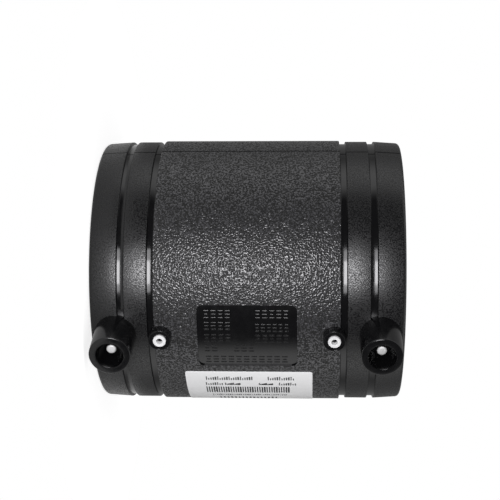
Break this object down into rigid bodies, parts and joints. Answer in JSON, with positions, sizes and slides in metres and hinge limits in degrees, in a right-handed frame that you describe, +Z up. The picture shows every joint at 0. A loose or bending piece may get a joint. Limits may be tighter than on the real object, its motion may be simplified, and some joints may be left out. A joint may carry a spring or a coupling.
{
  "type": "electrofusion coupler",
  "caption": "Black polyethylene electrofusion coupler: a short sleeve with grained grip, end grooves, shrouded terminals, fusion indicators, a recessed data plate and a white label.",
  "frame": {"origin": "centre of the lower end face, on the bore axis", "axes": "+Z up along the bore axis to the upper end, -Y out of the terminals and fusion indicators"},
  "size_m": [0.114, 0.1295, 0.128],
  "materials": {
    "black_polyethylene": "grained grip band and finely grained end bands, smooth grooves and shrouds",
    "coated_winding": "fine ridges of polyethylene-coated copper alloy wire",
    "tinned_brass": "bright tin plate",
    "white_plastic": "smooth",
    "label_film": "satin printed film"
  },
  "bodies": {
    "root": {"body": "black_polyethylene", "heating_winding": "coated_winding", "terminal_pin_lower": "tinned_brass", "terminal_pin_upper": "tinned_brass", "indicator_bush_lower": "white_plastic", "indicator_bush_upper": "white_plastic", "label": "label_film"}
  },
  "joints": []
}
